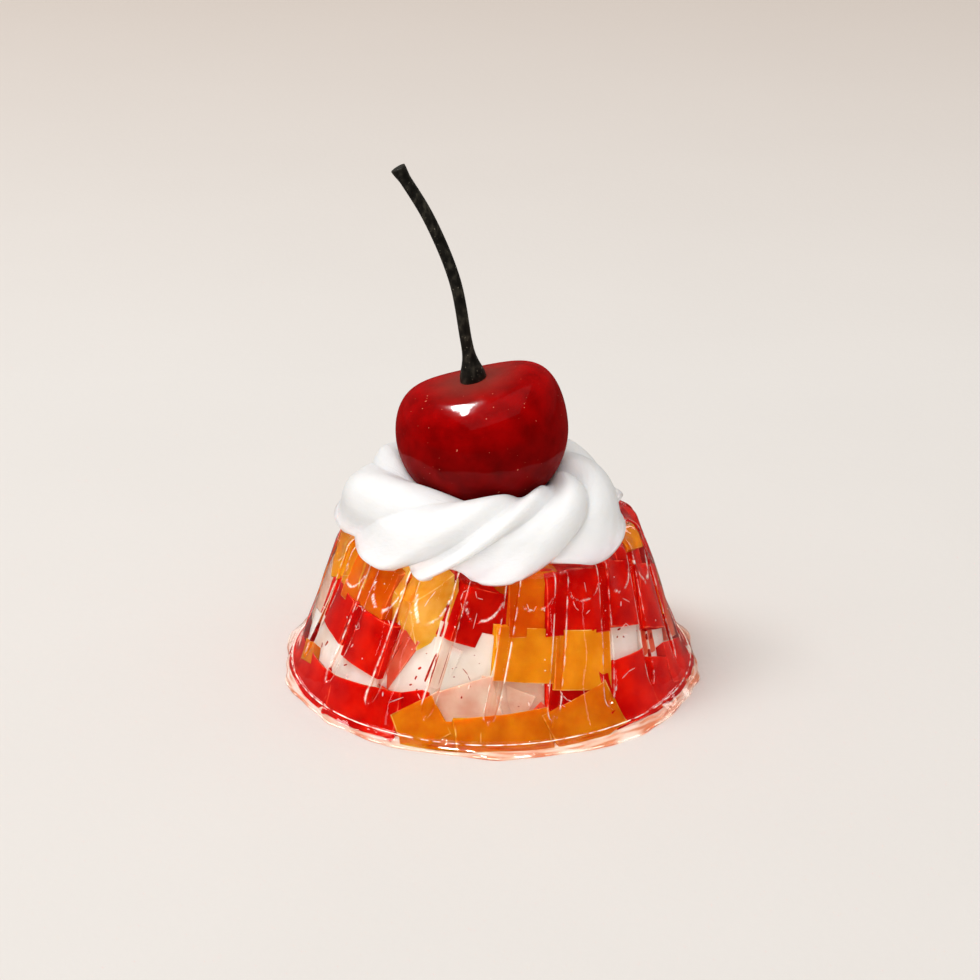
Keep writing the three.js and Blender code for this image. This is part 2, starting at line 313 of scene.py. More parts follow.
def wall_ring(level):
    """Points of a ring round the wall, with the weights of its painted highlights and of its painted red
    refraction.
    """
    flutes, distance, line, refraction_tint = flute_columns(level)
    land = wall_radius(level)
    arc = land * FLUTE_PITCH
    from_land = np.where(distance > 0, distance - arc / 2, distance + arc / 2)
    pillow = LAND_PILLOW * (1 - (2 * from_land / arc) ** 2) * float(smooth_step(1.5 * MM, 6 * MM, level))
    scoop, scoop_highlight = scoop_at(level, from_land, 1 + 0.45 * np.sin(5.3 * (flutes + (distance > 0))))
    hollowed = land - LAND_PILLOW / 2 + pillow - scoop
    groove = np.minimum(groove_radius(level, distance), hollowed + 1 * MM)
    groove_foot = GROOVE_FOOT_LEVEL - GROOVE_FOOT_LENGTH
    above_foot = float(smooth_step(groove_foot, GROOVE_FOOT_LEVEL, level + 1 * MM))
    line = line * above_foot * (0.7 + 0.3 * np.sin(7.1 * flutes + 2.9 * (distance > 0)))
    refraction_tint = refraction_tint * above_foot * (1 + 0.25 * np.sin(3.7 * flutes + 400 * level))
    angle = column_angles(level, flutes, distance)
    points = ring_points(soft_min(hollowed, groove, 0.15 * MM), angle, level)
    return points, np.maximum(line, scoop_highlight), refraction_tint


def foot_rings():
    """The same for each ring of the flat base, of the sloping foot and of the bead above it."""
    angle = column_angles(SKIRT_FOOT_HEIGHT, *flute_columns(SKIRT_FOOT_HEIGHT)[:2])
    around = ring_points(10.0, angle, 0.0)
    edge = film_edge_radius(angle) + FILM_RAGGEDNESS * ripple(around, 1.9, 21) - 0.2 * MM
    lumps = FILM_COARSE_LUMPS * ripple(around, 2.6, 22) + FILM_FINE_LUMPS * ripple(around, 1.1, 23)
    # Painted red refraction of the cubes in the foot: heavier and ragged along the film's edge, redder
    # towards the right, and streaked down the slope.
    edge_refraction_tint = 0.7 + 0.8 * ripple(around, 2.2, 24)
    slope_refraction_tint = 0.42 + 0.22 * np.cos(angle - FRONT - math.radians(70))

    def film_ring(share, height):
        """A ring at a share of the way from the skirt out to the film's edge."""
        radius = FILM_INNER_RADIUS + (edge - FILM_INNER_RADIUS) * share
        return ring_points(radius, angle, height)

    rings = [(film_ring(0.85, 0.0) * [share, share, 1], 0, 0) for share in (0.4, 0.8)]
    # The film's rounded edge, with a painted highlight along part of it.
    for turn in np.linspace(-math.pi / 2, math.pi / 2, 9):
        points = film_ring(0.85 + 0.15 * math.cos(turn), FILM_EDGE_HEIGHT / 2 * (1 + math.sin(turn)))
        rings.append((points, 0.9 if 0.3 < turn < 0.9 else 0, edge_refraction_tint))
    for share in np.linspace(0.8, 0.08, 10):
        rise = FILM_EDGE_HEIGHT + (FILM_INNER_HEIGHT - FILM_EDGE_HEIGHT) * (1 - share) ** 0.8
        streaks = ripple(around * 0.3 + [0, 0, 2 * share], 0.5, 5)
        points = film_ring(share, rise + lumps * math.sin(math.pi * share))
        rings.append((points, 0, slope_refraction_tint + 0.6 * streaks))
    # The bead above the foot, with a painted highlight along its top.
    for turn in np.linspace(-0.2, math.pi * 0.75, 7):
        radius = FOOT_BEAD_RADIUS + FOOT_BEAD_ROUND * math.cos(turn) + 0.08 * MM * np.sin(7 * angle)
        points = ring_points(radius, angle, FOOT_BEAD_LEVEL + FOOT_BEAD_ROUND * math.sin(turn))
        rings.append((points, 1 if 0.5 < turn < 1.5 else 0, 0))
    return rings


def make_jelly_shell():
    lower_wall = np.linspace(SKIRT_FOOT_HEIGHT, 7 * MM, 24)
    middle_wall = np.linspace(7 * MM, 17 * MM, 16)[1:]
    upper_wall = np.linspace(17 * MM, RIM_START_LEVEL, 18)[1:]
    rim_turn = np.linspace(math.asin((RIM_START_LEVEL - RIM_ARC_LEVEL) / RIM_ROUND), math.pi / 2, 10)[1:]
    rim = RIM_ARC_LEVEL + RIM_ROUND * np.sin(rim_turn)
    levels = np.concatenate([lower_wall, middle_wall, upper_wall, rim])
    rings = foot_rings() + [wall_ring(level) for level in levels]
    rings += [(rings[-1][0] * [share, share, 1], 0, 0) for share in (0.9, 0.7, 0.4)]

    points = np.array([ring[0] for ring in rings])
    outward = points * [1, 1, 0]
    outward /= np.linalg.norm(outward, axis=-1)[..., None]
    height = points[..., 2:3]
    uneven = 0.05 * MM * ripple(points, 5 * MM, 11) + 0.1 * MM * ripple(points, 11 * MM, 12)
    fade = smooth_step(0.5 * MM, 3 * MM, height) * smooth_step(0, 1.5 * MM, JELLY_HEIGHT - height)
    points = points + outward * (uneven[..., None] - 0.06 * MM) * fade
    shell = closed_skin("jelly_shell", points, (0, 0, 0), (0, 0, JELLY_HEIGHT))
    # Weights of the painted highlights and of the painted red refraction, for the finish.
    for part, name in ((1, PAINTED_HIGHLIGHT_LINE), (2, PAINTED_RED_REFRACTION)):
        weights = [np.broadcast_to(ring[part], points.shape[1]) for ring in rings]
        mark_points(shell, name, [0, *np.ravel(weights), 0])
    return shell


# ---------------- cubes sunk in the jelly

CUBE_DEPTH = 8.0 * MM
CUBE_STEPS = np.array([-1, -0.96, -0.7, -0.35, 0, 0.35, 0.7, 0.96, 1])
CORNER_RELIEF = 0.45        # a cube that shows a corner is flattened towards the wall
CUBE_LOWEST = 0.12 * MM
CUBE_HIGHEST = JELLY_HEIGHT - 0.8 * MM
SHELL_THICKNESS = 0.8 * MM  # no cube comes nearer to the plain wall
FOOT_CUBE_LEVEL = 5.0 * MM  # below this a cube leans back with the skirt
FOOT_CUBE_LEAN = 14         # degrees
CUBE_SKEW = 0.02
CUBE_UNEVENNESS = 0.012
CUBE_LUMPS = 6 * MM
CUBE_EDGE_ANGLE = math.radians(40)

# The cubes that show through the side. Each is given by the direction of its shown face from the
# front towards the right, the level of that face and its turn in its own plane in degrees, its
# width and height, how deep it lies under the straight wall, and for some how far the face is
# swung sideways and tipped back. Lengths are in millimetres.
SIDE_CUBES = {
    "red": [
        (-69, 13.2, -8, 8.6, 7.4, 1.6), (-47.2, 11.6, -5, 8.6, 8.3, 1), (-90, 1.8, 0, 12, 5.2, -0.3),
        (-68, 2.1, -3, 13, 6, -0.4), (-42, 2.6, 8, 14, 7, -0.3), (-29, 4, 22, 8.6, 5.4, 0.9),
        (-6.5, 17.9, -16, 10.2, 8.4, 0.9, 36), (34.2, 18.4, -10, 10.6, 9, 1),
        (56.5, 17.3, -18, 7.6, 9.8, 1.2), (70, 20.2, -20, 8, 7, 1.9), (77, 13.4, -26, 9.6, 9.8, 1.2),
        (25.5, 6, -8, 7.2, 5.2, 1.8), (47, 4.6, -4, 9.8, 9.8, -0.2), (62, 2.7, -26, 13, 8, -0.3),
        (80, 2.2, -22, 12, 6.6, -0.3),
    ],
    "orange": [(-53, 18.9, -8, 9.6, 8.6, 1.8), (16.3, 19.3, -3, 7.4, 8.8, 1.6)],
    "amber": [
        (-79, 19.7, 30, 6.6, 6.8, 1.1, 12), (-67, 19.3, -6, 7.4, 8, 1.9), (12.4, 12.8, -8, 9.4, 7.8, 1.4),
        (32.2, 10.8, -12, 9.4, 8.6, 1),
    ],
    "tawny": [
        (-77, 4.5, 20, 4.6, 3.2, 0.1), (-21, 2.5, 36, 7.4, 6.4, -0.4), (-12, 1.5, 4, 9, 5, -0.1),
        (3.4, 1.9, 6, 14, 6.2, -0.3), (28.5, 2.6, 16, 12, 7.2, -0.1), (80, 22, -20, 7, 3.4, 0.7),
    ],
    "honey": [(-31, 18.8, 12, 9, 8.6, 0.8, 45, 35)],
    # Pale cloudy jelly, painted as bright as the room seen through the clear jelly.
    "pale": [
        (-27, 10.2, -16, 11, 10, 3.6), (-6.5, 11.4, -14, 12, 9.4, 3.4), (50.5, 10.8, -12, 9, 9, 3.4),
        (72, 7.2, -22, 11, 8, 3), (-73, 6.4, 4, 12, 7, 3), (-52, 6.2, -6, 10, 5, 2.6),
        (-16, 10, 0, 14, 12, 6),
    ],
    # Painted pink and red: the red cubes seen through clear jelly, put in as cubes.
    "pink_seen_through": [
        (-8.5, 5.6, 22, 10, 6, 2.3), (3, 6, -24, 8, 5.6, 2.7), (12, 6.6, -10, 9, 6.4, 2.8),
        (-84, 12, -20, 8, 12, 2.6), (-82, 17, -20, 5, 8, 2.2),
    ],
    "red_seen_through": [
        (-34.4, 10.2, -24, 2.8, 9.6, 3), (66.5, 9.6, -10, 3, 6, 2.4), (86, 9, -20, 6, 8, 2),
        (15, 4.6, 38, 3.2, 2.8, 2),
    ],
}
# The cubes that the photo does not show: rows round the back, by level and count, and more inside.
HIDDEN_COLOURS = ("red", "red", "red", "amber", "amber", "orange")
BACK_ROWS = ((18.8, 8), (11.0, 9), (3.0, 10))
BACK_START = 96             # degrees from the front towards the right
BACK_SPAN = 168
INNER_TRIES = 5000
INNER_GAP = 0.1 * MM
INNER_COVER = 1.0 * MM
INNER_LOWEST = 0.6 * MM


def cut_box(half, steps=CUBE_STEPS):
    """Vertices and faces of a box whose faces are cut into a grid, and where its edges are."""
    index = {}
    faces = []
    last = len(steps) - 1
    for axis, side, row, column in product(range(3), (0, last), range(last), range(last)):
        corners = []
        for row_step, column_step in ((0, 0), (1, 0), (1, 1), (0, 1)):
            place = (side, row + row_step, column + column_step)
            place = place[-axis:] + place[:-axis]      # turned to this axis of the box
            corners.append(index.setdefault(place, len(index)))
        faces.append(corners if side else corners[::-1])
    points = steps[np.array(list(index))]
    on_edge = (np.abs(points) == 1).sum(axis=1) > 1
    return points * np.asarray(half), faces, on_edge


def wall_frame(direction, level):
    """A point on the straight wall, with the directions right, up the wall and outwards there."""
    angle = FRONT + math.radians(direction)
    outward = round_point(1, angle, CONE_TAPER).normalized()
    right = Vector((-math.sin(angle), math.cos(angle), 0))
    rotation = Matrix((right, outward.cross(right), outward)).transposed()
    return round_point(straight_wall(level), angle, level), rotation


def side_cube(direction, level, turn, width, height, cover, swing=0, tip=0):
    """Middle, rotation and half sizes of a cube that lies under the wall."""
    point, rotation = wall_frame(direction, level * MM)
    if level * MM < FOOT_CUBE_LEVEL:
        rotation = rotation @ Matrix.Rotation(math.radians(-FOOT_CUBE_LEAN), 3, "X")
    outward = rotation.col[2].copy()
    for angle, axis in ((turn, "Z"), (tip, "X"), (swing, "Y")):
        rotation = rotation @ Matrix.Rotation(math.radians(angle), 3, axis)
    if tip:
        rotation = Matrix.Scale(CORNER_RELIEF, 3, outward) @ rotation
    half = Vector((width * MM / 2, height * MM / 2, (width if tip else CUBE_DEPTH / MM) * MM / 2))
    reach = sum(abs(outward.dot(rotation.col[axis])) * half[axis] for axis in range(3))
    return point - outward * (cover * MM + reach), rotation, half


def keep_inside(points, cover):
    """Presses points that would reach the jelly's skin back under a cover of clear jelly."""
    level = np.clip(points[:, 2], CUBE_LOWEST, CUBE_HIGHEST)
    radius = np.hypot(points[:, 0], points[:, 1])
    skirt = SKIRT_FLARE * np.exp(-level / SKIRT_FLARE_HEIGHT)
    rim = np.maximum(0, level - RIM_ARC_LEVEL) * 0.6
    most = straight_wall(level) + skirt - cover - rim
    scale = np.minimum(1, most / np.maximum(radius, 1e-6))
    return np.stack([points[:, 0] * scale, points[:, 1] * scale, level], axis=-1)


def boxes_meet(first, second, gap):
    """True where two turned boxes come closer than a gap, by the separating axis test."""
    offset = second[0] - first[0]
    first_axes = [first[1].col[i] for i in range(3)]
    second_axes = [second[1].col[i] for i in range(3)]
    crossed = [a.cross(b) for a in first_axes for b in second_axes]
    for axis in first_axes + second_axes + crossed:
        if axis.length < 1e-6:
            continue
        axis = axis.normalized()
        reach = sum(abs(axis.dot(a)) * first[2][i] for i, a in enumerate(first_axes))
        reach += sum(abs(axis.dot(b)) * second[2][i] for i, b in enumerate(second_axes))
        if abs(axis.dot(offset)) > reach + gap:
            return False
    return True


def inside_jelly(box):
    """True where every corner of a box keeps its cover of clear jelly."""
    middle, rotation, half = box
    for signs in product((-1, 1), repeat=3):
        corner = middle + rotation @ (half * Vector(signs))
        if not INNER_LOWEST < corner.z < JELLY_HEIGHT - INNER_COVER:
            return False
        if math.hypot(corner.x, corner.y) > straight_wall(corner.z) - INNER_COVER:
            return False
    return True


def place_cubes():
    """Every cube with its colour: those that show in front, and the rest at random."""
    chance = random.Random(7)
    cubes = [(colour, side_cube(*place)) for colour, places in SIDE_CUBES.items() for place in places]
    for level, count in BACK_ROWS:
        for step in range(count):
            direction = BACK_START + BACK_SPAN * (step + 0.5) / count
            size = (chance.uniform(8.4, 10.0), chance.uniform(7.8, 9.0))
            cover = chance.uniform(-0.3, 0) if level < 5 else chance.uniform(1.0, 1.8)
            place = (direction, level + chance.gauss(0, 0.4), chance.gauss(0, 12), *size, cover)
            cubes.append((chance.choice(HIDDEN_COLOURS), side_cube(*place)))
    for attempt in range(INNER_TRIES):
        shrink = 1 - 0.5 * attempt / INNER_TRIES
        level = chance.uniform(2, 21) * MM
        radius = (straight_wall(level) - 2 * MM) * math.sqrt(chance.random())
        angle = chance.uniform(0, 2 * math.pi)
        size = [chance.uniform(7.4, 9.0) * shrink * MM / 2 for _ in range(3)]
        turn = Matrix.Rotation(angle + chance.gauss(0, 0.4), 3, "Z")
        tip, lean = (Matrix.Rotation(chance.gauss(0, 0.35), 3, axis) for axis in "XY")
        box = (round_point(radius, angle, level), turn @ (tip @ lean), Vector(size))
        if inside_jelly(box) and not any(boxes_meet(box, other, INNER_GAP) for _, other in cubes):
            cubes.append((chance.choice(HIDDEN_COLOURS), box))
    return cubes


def part_cubes(boxes):
    """The boxes in two lots, so that two boxes that run into each other are not in the same lot."""
    lots = ([], [])
    for box in boxes:
        meets = [sum(boxes_meet(box, other, 0) for other in lot) for lot in lots]
        lots[0 if meets[0] <= meets[1] else 1].append(box)
    return lots


def make_cubes(name, boxes, seed):
    """One piece of cut cubes, each a little skewed and with slightly uneven faces."""
    chance = np.random.default_rng(seed)
    parts = []
    edges = []
    for middle, rotation, half in boxes:
        points, faces, on_edge = cut_box(half)
        edges.extend(on_edge)
        skew = np.eye(3) + chance.normal(0, CUBE_SKEW, (3, 3))
        points = points @ skew.T
        uneven = ripple(points + chance.uniform(-1, 1, 3), CUBE_LUMPS, int(chance.integers(1000)))
        points = points * (1 + CUBE_UNEVENNESS * uneven[:, None])
        cover = SHELL_THICKNESS + chance.uniform(0, 0.35) * MM
        parts.append((keep_inside(points @ np.array(rotation).T + np.array(middle), cover), faces))
    piece = joined_object(name, parts)
    piece.data.set_sharp_from_angle(angle=CUBE_EDGE_ANGLE)
    # Where the cut edges run, for the painted highlight along them.
    mark_points(piece, CUT_EDGE_HIGHLIGHT, edges)
    return piece


# ---------------- crumbs and bubbles

BIT_STEPS = np.linspace(-1, 1, 5)
BIT_UNEVENNESS = 0.2
# Crumbs and fibres caught in the clear jelly. Each is given by its direction, level and cover, its
# length, its thickness and its turn in its own plane in degrees, with lengths in millimetres.
CRUMBS = [
    (-20.8, 10.4, 1.9, 4.8, 0.3, 74), (-34.8, 10.6, 2.2, 5.4, 0.18, 68), (-15.6, 10.6, 1.9, 5, 0.16, 76),
    (-24.4, 10.2, 2, 0.5, 0.32, 60), (-26.8, 7.7, 2.1, 0.4, 0.25, 40), (-25.4, 8.8, 2.1, 0.6, 0.22, 70),
    (-24.6, 7.2, 2.1, 0.3, 0.2, 55), (-22.6, 12.4, 2, 0.2, 0.15, 0), (-12.8, 10.8, 2, 0.2, 0.14, 0),
    (-11.6, 11, 2, 0.16, 0.12, 30), (-12.1, 9.7, 2, 0.3, 0.14, 10), (-8.6, 10.6, 2, 1.1, 0.13, -48),
    (-7.2, 9.7, 2, 0.8, 0.1, -65), (-6.9, 8.6, 2, 0.22, 0.15, 0), (-9.4, 7, 2, 0.35, 0.22, 80),
    (-4, 11.8, 2, 0.15, 0.1, 0), (-2.2, 9.6, 2.1, 0.2, 0.1, 0), (-5.6, 12.9, 2, 0.18, 0.12, 0),
    (-57.7, 6.3, 1.6, 0.5, 0.3, 20), (-53.4, 7, 1.6, 0.8, 0.2, 40), (-67.5, 7.8, 1.8, 1, 0.25, 70),
    (-70, 7, 1.8, 0.8, 0.2, 110), (50, 12.9, 1.8, 0.6, 0.3, 5), (48.4, 12, 1.8, 0.3, 0.2, 60),
    (51.2, 11.6, 1.8, 0.4, 0.2, -50), (66.5, 9.2, 1.7, 0.9, 0.3, 60), (14.4, 5.2, 1.7, 0.5, 0.25, 40),
    (8.6, 5.8, 1.7, 0.2, 0.12, 0), (18.2, 7.6, 1.7, 0.4, 0.2, 80),
]
BUBBLE_COUNT = 90
BUBBLE_COVER = 0.62         # bubbles and wisps lie just in front of the cubes
# Fine pale wisps, which are painted glints. Each is given by its direction and level, its length, its
# thickness and its turn.
GLINT_WISPS = [
    (-30.1, 5.3, 2.9, 0.14, 31), (-20.6, 3.2, 1.4, 0.12, 4), (-22.5, 6.6, 0.8, 0.14, -56),
    (-5, 3.2, 0.5, 0.14, 22), (-54.6, 15.3, 0.8, 0.13, 65), (-53.1, 15.8, 0.9, 0.14, 6),
    (-51.5, 15.6, 0.6, 0.12, -44), (-52.2, 12.8, 0.8, 0.13, -38), (-50.6, 12.8, 0.9, 0.13, 34),
    (-50.3, 13.4, 0.9, 0.12, 118), (-37.4, 15.5, 0.8, 0.13, -50), (-23.8, 19.4, 1.3, 0.14, 64),
    (-21.9, 20.6, 1.5, 0.14, 57), (-10.8, 20.9, 1, 0.13, 75), (-9.7, 21.6, 0.8, 0.13, 32),
    (-10.6, 19.6, 0.9, 0.13, -69), (-5.5, 21.2, 1, 0.12, -77), (-4, 20.7, 0.8, 0.14, -15),
    (-5.5, 17.8, 2.1, 0.1, -101), (3.8, 4.2, 0.8, 0.18, -29), (22.2, 7.1, 0.8, 0.14, -74),
    (23.1, 6.3, 1, 0.15, -53), (24.4, 5.8, 0.6, 0.13, -28), (22.4, 5.2, 0.8, 0.14, -41),
    (23.9, 4.7, 1, 0.12, -25), (16.5, 1.6, 1.4, 0.16, -21), (46, 6.8, 1.5, 0.14, 20),
    (49.1, 7.1, 1.5, 0.14, 0), (37, 20.5, 1.4, 0.12, -90), (31.1, 18.6, 1, 0.12, -79),
    (31.9, 17.9, 0.7, 0.12, -46), (36, 17.1, 0.9, 0.12, 26), (13.2, 19.4, 0.8, 0.13, -76),
    (14.3, 18.9, 0.7, 0.13, -24), (15.8, 19, 0.9, 0.12, 54), (55.1, 16.4, 1.7, 0.13, -39),
    (54, 2.3, 0.9, 0.1, -103), (53.6, 1.1, 0.9, 0.1, -100), (50.5, 13.3, 1.1, 0.14, 15),
    (52.6, 13.1, 1.2, 0.14, -51), (50.4, 12.1, 1.3, 0.12, -22), (-58, 6.3, 1.6, 0.12, 73),
    (-46.5, 2.8, 1.5, 0.1, 4),
]


def place_bubbles_and_glints():
    """The wisps of painted glint, and small pale bubbles at random all round the jelly."""
    chance = random.Random(5)
    bubbles_and_glints = [(direction, level, BUBBLE_COVER, *size) for direction, level, *size in GLINT_WISPS]
    for _ in range(BUBBLE_COUNT):
        direction = chance.uniform(-180, 180)
        level = chance.uniform(3, 21)
        length = chance.choice((0.16, 0.2, 0.24, 0.7))
        bubbles_and_glints.append((direction, level, BUBBLE_COVER, length, min(length, 0.22), chance.uniform(40, 110)))
    return bubbles_and_glints


def make_bits(name, places, roundness, seed):
    """One piece of small uneven bits, from blocks at a roundness of 0 to balls at 1."""
    chance = np.random.default_rng(seed)
    parts = []
    for direction, level, cover, length, thickness, turn in places:
        point, rotation = wall_frame(direction, level * MM)
        rotation = np.array(rotation @ Matrix.Rotation(math.radians(turn), 3, "Z"))
        points, faces, _ = cut_box((1, 1, 1), BIT_STEPS)
        ball = points / np.linalg.norm(points, axis=1)[:, None]
        points = points * (1 - roundness) + ball * roundness
        points = points * (1 + BIT_UNEVENNESS * ripple(points + chance.uniform(-9, 9, 3), 2, seed))[:, None]
        points = points * np.array([length, thickness, min(thickness, 0.3)]) * MM / 2
        middle = np.array(point) - rotation[:, 2] * cover * MM
        parts.append((points @ rotation.T + middle, faces))
    return joined_object(name, parts)


# ---------------- cream

def crease_direction(index, rise):
    """Direction of the crease on a ridge's left, at a rise up the ring's side."""
    start, run, hook = RIDGES[index % len(RIDGES)][:3]
    turns = index // len(RIDGES)
    return start + 360 * turns - run * (CREASE_TOP - rise) - hook * math.exp(-rise / CREAM_FOOT_RISE)


def cream_point(index, across, rise):
    """Direction, radius and height of the piped ring at shares of the way across one ridge."""
    depth, sharp, peak, bulge = RIDGES[index][3:]
    far_depth, far_sharp = RIDGES[(index + 1) % len(RIDGES)][3:5]
    before = across < peak
    from_peak = np.where(before, 1 - across / peak, (across - peak) / (1 - peak))
    turn = rise * math.pi / 2
    outward = math.cos(turn)
    blend = min(1, 3 * rise)
    full_depth = CREASE_DEPTH_AT_FOOT * (1 - blend) + CREASE_DEPTH_AT_CREST * blend
    sharpness = np.where(before, sharp, far_sharp)
    fall = sharpness * from_peak ** RIDGE_FLATNESS + (1 - sharpness) * (1 - np.cos(math.pi * from_peak)) / 2
    push = full_depth * np.where(before, depth, far_depth) * fall
    swell = bulge * (1 - from_peak ** 2) * math.sin(math.pi * min(1, rise) ** 1.3)
    flare = CREAM_FOOT_FLARE * math.exp(-rise / CREAM_FOOT_RISE)
    reach = CREAM_OUTER_REACH + flare if outward > 0 else CREAM_INNER_REACH
    left = crease_direction(index, rise)
    direction = left + (crease_direction(index + 1, rise) - left) * across
    radius = CREAM_CREST_RADIUS + reach * outward + (swell - push) * max(outward, 0)
    height = (CREAM_CREST_HEIGHT + 0.5 * swell - push * math.sin(turn)) * math.sin(turn)
    return direction, radius, height


def rest_level(distance):
    """The top of the jelly under the cream, with the gap that opens over the rounded rim."""
    over = np.clip(distance - RIM_ARC_RADIUS, 0, RIM_ROUND * 0.85)
    gap = REST_GAP * smooth_step(REST_GAP_START, REST_GAP_END, distance)
    return RIM_ARC_LEVEL + np.sqrt(RIM_ROUND ** 2 - over ** 2) + gap


def make_cream():
    across = np.linspace(0, 1, 45)[:-1]
    rises = np.concatenate([np.linspace(0, 0.2, 10), np.linspace(0.2, 1.7, 62)[1:]])

    def whole_ring(rise):
        parts = [cream_point(index, across, rise) for index in range(len(RIDGES))]
        direction, radius, height = (np.concatenate(values) for values in zip(*parts))
        return FRONT + np.radians(direction), radius, height

    def place(angle, radius, level):
        return ring_points(radius, angle, level) + [*CREAM_CENTRE, 0]

    def foot_ring(share):
        angle, radius, _ = whole_ring(0)
        points = place(angle, radius * share, 0.0)
        points[:, 2] = rest_level(np.hypot(points[:, 0], points[:, 1]))
        return points

    foot_level = foot_ring(1)[:, 2] + CREAM_LIP

    def side_ring(rise):
        angle, radius, height = whole_ring(rise)
        stretch = 1 + (JELLY_HEIGHT - foot_level) / CREAM_CREST_HEIGHT
        return place(angle, radius, foot_level + height * stretch)

    rings = np.array([
        *[foot_ring(share) for share in (0.4, 0.78, 0.86, 0.92, 0.97)],
        *[side_ring(rise) for rise in rises],
    ])
    lower_pole = (*CREAM_CENTRE, JELLY_HEIGHT)
    upper_pole = (*CREAM_CENTRE, JELLY_HEIGHT + CREAM_CREST_HEIGHT / 2)
    cream = closed_skin("whipped_cream", rings, lower_pole, upper_pole)
    columns = rings.shape[1]
    fold = np.arange(columns) / columns * 2 * math.pi
    streaks = [ring_points(1.0, fold, 0.03 * row) for row in range(len(rings))]
    mark_points(cream, ALONG_FOLDS, np.vstack([[0, 0, 0], *streaks, [0, 0, 0]]))
    return cream


# ---------------- cherry and stem

def make_cherry():
    columns = 144
    rows = 110
    angle = np.arange(columns) * 2 * math.pi / columns

    def ring(polar):
        up = max(0, math.cos(polar))
        radius = CHERRY_RADIUS * max(0, math.sin(polar)) ** CHERRY_FULLNESS
        half_height = CHERRY_UPPER_HEIGHT if up > 0 else CHERRY_LOWER_HEIGHT
        dimple = DIMPLE_DEPTH * math.exp(-(polar / DIMPLE_WIDTH) ** 2)
        saddle = SHOULDER_SADDLE * np.cos(2 * angle) * math.sin(polar) ** 2 * up
        x = radius * np.cos(angle) + DIMPLE_SIDE * up ** 4
        y = radius * np.sin(angle)
        z = half_height * math.cos(polar) - dimple + saddle + SHOULDER_LIFT * x * up
        points = np.stack([x, y, z], axis=-1)
        tilt = np.array(Matrix.Rotation(-CHERRY_TILT, 3, "Y"))
        return points @ tilt.T + CHERRY_CENTRE

    polars = [math.pi * (1 - row / rows) for row in range(rows + 1)]
    rings = [ring(polar) for polar in polars]
    flesh = closed_skin("cherry_flesh", rings[1:-1], rings[0][0], rings[-1][0])
    # How near each ring lies to the stem, for the painted shade there.
    nearness = np.exp(-(np.array(polars) / DIMPLE_SHADE_WIDTH) ** 2)
    mark_points(flesh, DIMPLE_PAINTED_SHADE, [nearness[0], *np.repeat(nearness[1:-1], columns), nearness[-1]])
    return flesh


def stem_radius_at(along, length):
    past = max(0, along - STEM_FOOT_LEVEL) / STEM_FOOT_HEIGHT
    foot = (STEM_FOOT_RADIUS - STEM_RADIUS) * math.exp(-past ** 2)
    tip = (STEM_TIP_RADIUS - STEM_RADIUS) * float(smooth_step(length - STEM_TIP_LENGTH, length, along))
    return STEM_RADIUS + foot + tip


def smooth_path(knots, steps):
    """Points spread evenly along a smooth curve through the knots."""
    knots = [2 * knots[0] - knots[1], *knots, 2 * knots[-1] - knots[-2]]
    points = []
    for before, start, end, after in zip(knots, knots[1:], knots[2:], knots[3:]):
        for part in np.linspace(0, 1, 60, endpoint=False):
            points.append(0.5 * (
                2 * start + (end - before) * part
                + (2 * before - 5 * start + 4 * end - after) * part ** 2
                + (3 * start - before - 3 * end + after) * part ** 3
            ))
    points.append(knots[-2])
    points = np.array(points)
    along = np.concatenate([[0], np.cumsum(np.linalg.norm(np.diff(points, axis=0), axis=1))])
    even = np.linspace(0, along[-1], steps + 1)
    return np.stack([np.interp(even, along, points[:, axis]) for axis in range(3)], axis=-1), even


def make_stem():
    sides = 40
    knots = [np.array([x * MM, 0, z * MM]) for x, z in STEM_PATH]
    centres, along = smooth_path(knots, 150)
    tangents = np.gradient(centres, axis=0)
    tangents /= np.linalg.norm(tangents, axis=1)[:, None]
    across = np.array([0, 1, 0])
    turn = np.arange(sides) * 2 * math.pi / sides
    rings = []
    for centre, tangent, distance in zip(centres, tangents, along):
        aside = np.cross(across, tangent)
        radius = stem_radius_at(distance, along[-1])
        rings.append(centre + radius * (np.cos(turn)[:, None] * aside + np.sin(turn)[:, None] * across))
    return closed_skin("cherry_stalk", rings, centres[0], centres[-1])


# ---------------- finishes

class NodeTree:
    """The nodes of a material or of the world, with short calls to add and link them."""

    def __init__(self, owner):
        owner.use_nodes = True
        self.nodes = owner.node_tree.nodes
        self.links = owner.node_tree.links

    def feed(self, socket, value):
        """Gives an input a value, or another node's output."""
        if isinstance(value, bpy.types.NodeSocket):
            self.links.new(value, socket)
        else:
            socket.default_value = value

    def add(self, kind, inputs=None, **settings):
        node = self.nodes.new("ShaderNode" + kind)
        for name, value in settings.items():
            setattr(node, name, value)
        for name, value in (inputs or {}).items():
            self.feed(node.inputs[name], value)
        return node

    def combine(self, operation, first, second):
        """Two outputs put together by an operation, and kept between 0 and 1."""
        node = self.add("Math", {0: first, 1: second}, operation=operation, use_clamp=True)
        return node.outputs["Value"]

    def mix(self, factor, value, other):
        """A value that gives way to another by a factor."""
        return self.add("Mix", {"Factor": factor, "A": value, "B": other}).outputs["Result"]

    def mirrored(self):
        """1 for what is seen in a reflection, and 0 for what is seen straight or through jelly."""
        ray = self.add("LightPath")
        return self.combine("SUBTRACT", ray.outputs["Is Glossy Ray"], ray.outputs["Is Transmission Ray"])


